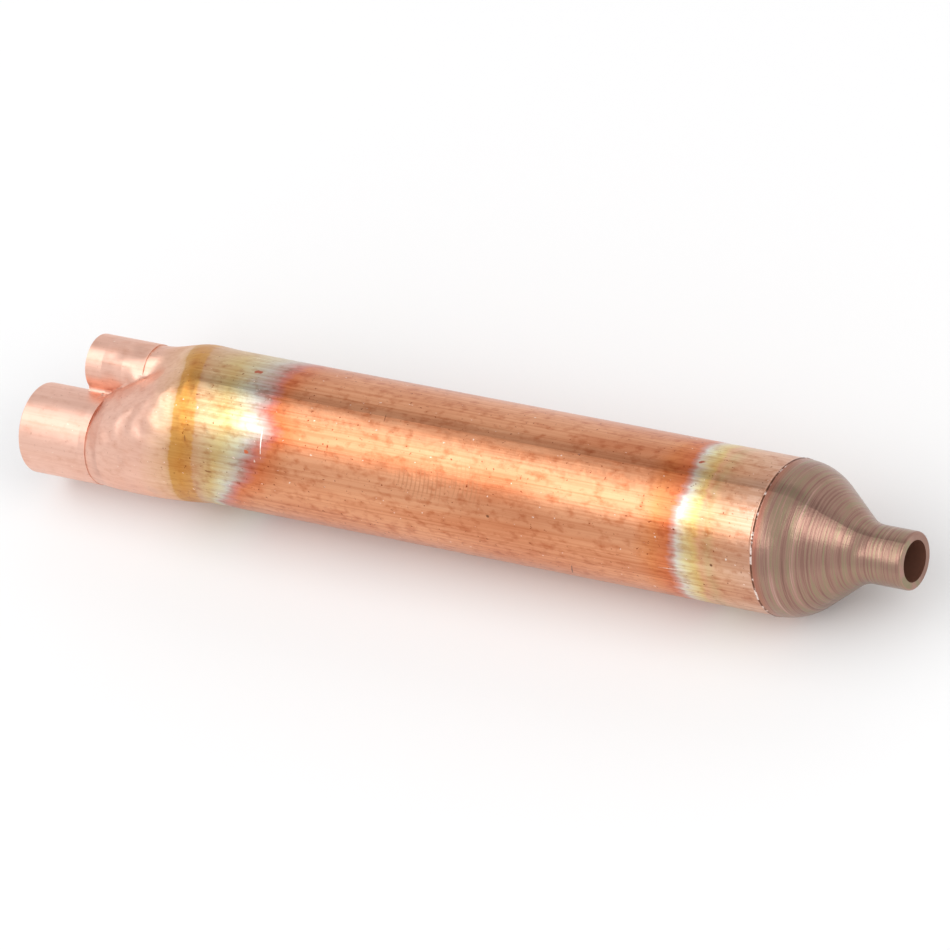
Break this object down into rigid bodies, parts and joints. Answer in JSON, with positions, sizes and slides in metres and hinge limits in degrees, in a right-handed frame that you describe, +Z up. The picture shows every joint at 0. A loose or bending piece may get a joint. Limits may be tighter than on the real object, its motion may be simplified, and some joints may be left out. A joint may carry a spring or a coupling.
{
  "type": "filter drier",
  "caption": "Copper tube filter drier: a round shell with two pinched inlet stubs, a spun outlet stub, mesh screens and desiccant beads inside.",
  "frame": {"origin": "centre of the outlet bore at the outlet's mouth, on the tube's axis", "axes": "+X along the tube from the inlets to the outlet, +Z up as the part lies on its tube, with the large inlet stub low and towards -Y"},
  "size_m": [0.125, 0.0195, 0.0192],
  "materials": {
    "copper": "drawn copper tube, spun and pinched at the ends, with heat tint by the pinched end",
    "steel": "plain rolled strip",
    "mesh": "woven wire",
    "beads": "matt fired molecular sieve"
  },
  "bodies": {
    "root": {"shell": "copper", "inlet_screen_ring": "steel", "inlet_screen": "mesh", "desiccant_beads": "beads", "outlet_screen": "mesh", "outlet_screen_ring": "steel"}
  },
  "joints": []
}
